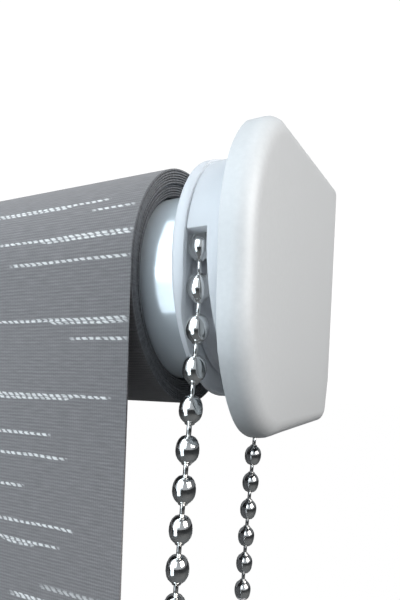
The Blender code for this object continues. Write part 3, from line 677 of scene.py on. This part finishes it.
def moulded_cover(name, end, side, offset):
    """side is 1 at the control end and -1 at the idle end. offset is the rim's distance past the cloth."""
    outline = cover_outline()
    rim = end + side * offset * MM
    bpy.ops.object.select_all(action="DESELECT")
    bpy.ops.mesh.primitive_circle_add(vertices=len(outline), radius=MM, fill_type="NGON")
    cover = bpy.context.object
    for v, (y, z) in zip(cover.data.vertices, outline, strict=True):
        v.co = (rim, AXIS_Y + y * MM, z * MM)
    bpy.ops.object.mode_set(mode="EDIT")
    bpy.ops.mesh.select_all(action="SELECT")
    bpy.ops.mesh.extrude_region_move(TRANSFORM_OT_translate={"value": (side * SHELL_DEPTH, 0, 0)})
    bpy.ops.object.mode_set(mode="OBJECT")
    data = cover.data
    for v in data.vertices:
        if abs(v.co.x - rim) > 3 * MM:
            v.co.x += side * LEAN * v.co.z
    pick(cover, "FACE", lambda f: f.center.y > -MM or len(f.vertices) > 4 and abs(f.center.x - rim) < 1e-5)
    bpy.ops.mesh.delete(type="FACE")
    bpy.ops.object.mode_set(mode="OBJECT")
    outer = {key for f in data.polygons if len(f.vertices) > 4 for key in f.edge_keys}
    front = {v.index for v in data.vertices if v.co.y < -1.5 * MM}
    pick(cover, "EDGE", lambda e: e.key in outer and front.intersection(e.vertices))
    bpy.ops.mesh.bevel(offset=SHELL_EDGE, segments=6, profile=0.5, clamp_overlap=True)
    bpy.ops.mesh.select_all(action="SELECT")
    bpy.ops.mesh.normals_make_consistent(inside=False)
    bpy.ops.object.mode_set(mode="OBJECT")
    face = max(data.polygons, key=lambda f: f.area)
    if face.normal.x * side < 0:
        bpy.ops.object.mode_set(mode="EDIT")
        bpy.ops.mesh.select_all(action="SELECT")
        bpy.ops.mesh.flip_normals()
        bpy.ops.object.mode_set(mode="OBJECT")
    wall = cover.modifiers.new("wall", "SOLIDIFY")
    wall.thickness = SHELL_WALL
    wall.offset = -1
    wall.use_even_offset = False
    bpy.ops.object.modifier_apply(modifier="wall")
    bpy.ops.object.shade_smooth_by_angle(angle=math.radians(30))
    finish_mesh(cover, name, abs_shell)
    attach(cover, "brackets")
    return cover


control_shell = moulded_cover("control_cover_shell", ROLL_END_X, 1, 19.6)
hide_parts("control_cover")
idle_shell = moulded_cover("idle_cover_shell", ROLL_END_X - CLOTH_WIDTH * MM, -1, 9.6)
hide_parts("idle_cover")

# ---- Brackets and wall screws ----------------------------------------------------------------------------
# Folded mild steel, 1.8 mm thick, zinc plated and passivated: a cool grey with a faint crystal bloom.
# Two pan head screws hold each one to the wall.
zinc = new_material("zinc_plated_steel")
place = node(zinc, "TexCoord", {})
bloom = node(zinc, "TexVoronoi", {"Vector": place.outputs["Object"], "Scale": 420})
haze = node(zinc, "TexNoise", {"Vector": place.outputs["Object"], "Scale": 130, "Detail": 3})
tone = node(zinc, "Mix", {0: haze, 6: srgb("#a9adb0"), 7: srgb("#c8cbcc")}, data_type="RGBA")
rough = node(zinc, "MapRange", {"Value": bloom, 1: 0, 2: 1, 3: 0.3, 4: 0.42})
surface = node(zinc, "BsdfPrincipled", {"Base Color": tone.outputs[2], "Metallic": 1.0, "Roughness": rough})
node(zinc, "OutputMaterial", {"Surface": surface})


def give_finish(names, material):
    """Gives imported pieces, kept in their own shape, a finish."""
    for name in names:
        nodes[name].data.materials.clear()
        nodes[name].data.materials.append(material)


give_finish(("control_bracket", "control_bracket_screw_upper", "control_bracket_screw_lower"), zinc)
give_finish(("idle_bracket", "idle_bracket_screw_upper", "idle_bracket_screw_lower"), zinc)
give_finish(("clutch_screw", "idle_pin"), zinc)

# ---- Clutch and tube fittings ----------------------------------------------------------------------------
# Nylon core, crown and plug, an acetal bush, and springs of oiled wire. The hem's locking strip is nylon too.
give_finish(("clutch_core", "drive_crown", "idle_plug", "hem_strip"), nylon)
give_finish(("idle_bush",), white)

# Oiled spring wire: a smooth dark metal, cloudy where the oil lies
wire = new_material("oiled_spring_wire")
place = node(wire, "TexCoord", {})
haze = node(wire, "TexNoise", {"Vector": place.outputs["Object"], "Scale": 700, "Detail": 2})
tone = node(wire, "Mix", {0: haze, 6: srgb("#6b6a68"), 7: srgb("#8b8a88")}, data_type="RGBA")
surface = node(wire, "BsdfPrincipled", {"Base Color": tone.outputs[2], "Metallic": 1.0, "Roughness": 0.3})
node(wire, "OutputMaterial", {"Surface": surface})
give_finish(("wrap_spring", "idle_spring"), wire)
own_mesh(nodes["idle_spring"])

# ---- Hem bar ---------------------------------------------------------------------------------------------
# Satin anodised aluminium extrusion, with an acetal cap pushed into each end. Fine lines along the bar blur
# what it reflects.
anodised = new_material("satin_anodised_aluminium")
place = node(anodised, "TexCoord", {})
lines = node(anodised, "Mapping", {"Vector": place.outputs["Object"], "Scale": (12, 3000, 3000)})
draw = node(anodised, "TexNoise", {"Vector": lines, "Scale": 1, "Detail": 2})
tone = node(anodised, "Mix", {0: draw, 6: srgb("#b4b7bb"), 7: srgb("#c4c7ca")}, data_type="RGBA")
rough = node(anodised, "MapRange", {"Value": draw, 1: 0.3, 2: 0.7, 3: 0.34, 4: 0.42})
surface = node(
    anodised,
    "BsdfPrincipled",
    {"Base Color": tone.outputs[2], "Metallic": 1.0, "Roughness": rough},
)
node(anodised, "OutputMaterial", {"Surface": surface})
give_finish(("hem_bar",), anodised)
give_finish(("hem_cap_control", "hem_cap_idle"), white)

# ---- Floor and light -------------------------------------------------------------------------------------
# A white floor under the hanging blind, which glows for the camera only, so that no light comes up from it.
# Soft boxes stand in front, to the left and to the right, and the sky between them is dim.
bpy.ops.object.select_all(action="DESELECT")
bpy.ops.mesh.primitive_plane_add(size=30, location=(0, 0, -0.36))
floor = bpy.context.object
paper = new_material("white_backdrop_paper")
seen = node(paper, "LightPath", {})
matt = node(paper, "BsdfDiffuse", {"Color": srgb("#6c6c6c")})
glow = node(paper, "Emission", {"Color": srgb("#ffffff"), "Strength": 1.0})
surface = node(paper, "MixShader", {0: seen.outputs["Is Camera Ray"], 1: matt, 2: glow})
node(paper, "OutputMaterial", {"Surface": surface})
finish_mesh(floor, "floor", paper)


def soft_box(name, place, aim, width, height, power, colour):
    """An upright light panel, in metres and watts, turned towards the point aim."""
    data = bpy.data.lights.new(name, "AREA")
    data.shape = "RECTANGLE"
    data.size, data.size_y = width, height
    data.energy = power
    data.color = colour
    lamp = bpy.data.objects.new(name, data)
    lamp.location = place
    lamp.rotation_euler = (Vector(aim) - Vector(place)).to_track_quat("-Z", "Y").to_euler()
    bpy.context.scene.collection.objects.link(lamp)
    return lamp


COOL, NEUTRAL = (0.8, 0.92, 1.0), (1.0, 0.985, 0.96)
soft_box("front_box", (-0.05, -0.5, 0.22), (-0.01, -0.05, 0), 0.3, 0.4, 1.2, COOL)
soft_box("left_box", (-0.31, -0.42, 0.26), (-0.05, -0.05, 0), 0.3, 0.9, 2.2, COOL)
# This card shows only in the metal, and carries its highlight down
card = soft_box("low_card", (-0.22, -0.5, -0.08), (-0.01, -0.05, 0), 0.28, 0.5, 1.0, COOL)
card.visible_diffuse = False
soft_box("right_box", (0.6, -0.15, 0.3), (0, -0.04, 0), 0.5, 0.5, 4.9, NEUTRAL)
# This one lights the rear and shows in nothing
back = soft_box("back_box", (-0.25, 0.7, 0.35), (-0.15, 0, -0.1), 0.6, 0.6, 4.0, COOL)
back.visible_glossy = False

# The camera sees white all round. Everything else gets a cool sky, brightest in front and dim overhead
world = bpy.data.worlds.new("studio")
bpy.context.scene.world = world
world.use_nodes = True
world.node_tree.nodes.clear()
rays = node(world, "LightPath", {})
toward = node(world, "TexCoord", {})
split = node(world, "SeparateXYZ", {0: toward.outputs["Generated"]})
forward = node(world, "MapRange", {0: split.outputs["Y"], 1: 0.2, 2: -0.3, 3: 0.2, 4: 0.55})
overhead = node(world, "MapRange", {0: split.outputs["Z"], 1: 0.4, 2: 1, 3: 1, 4: 0.35})
strength = node(world, "Math", {0: forward, 1: overhead}, operation="MULTIPLY")
sky = node(world, "Background", {"Color": (0.88, 0.94, 1, 1), "Strength": strength})
seen_white = node(world, "Background", {"Color": (1, 1, 1, 1), "Strength": 1.05})
blend = node(world, "MixShader", {0: rays.outputs["Is Camera Ray"], 1: sky, 2: seen_white})
node(world, "OutputWorld", {"Surface": blend})
bpy.context.scene.view_settings.view_transform = "Standard"
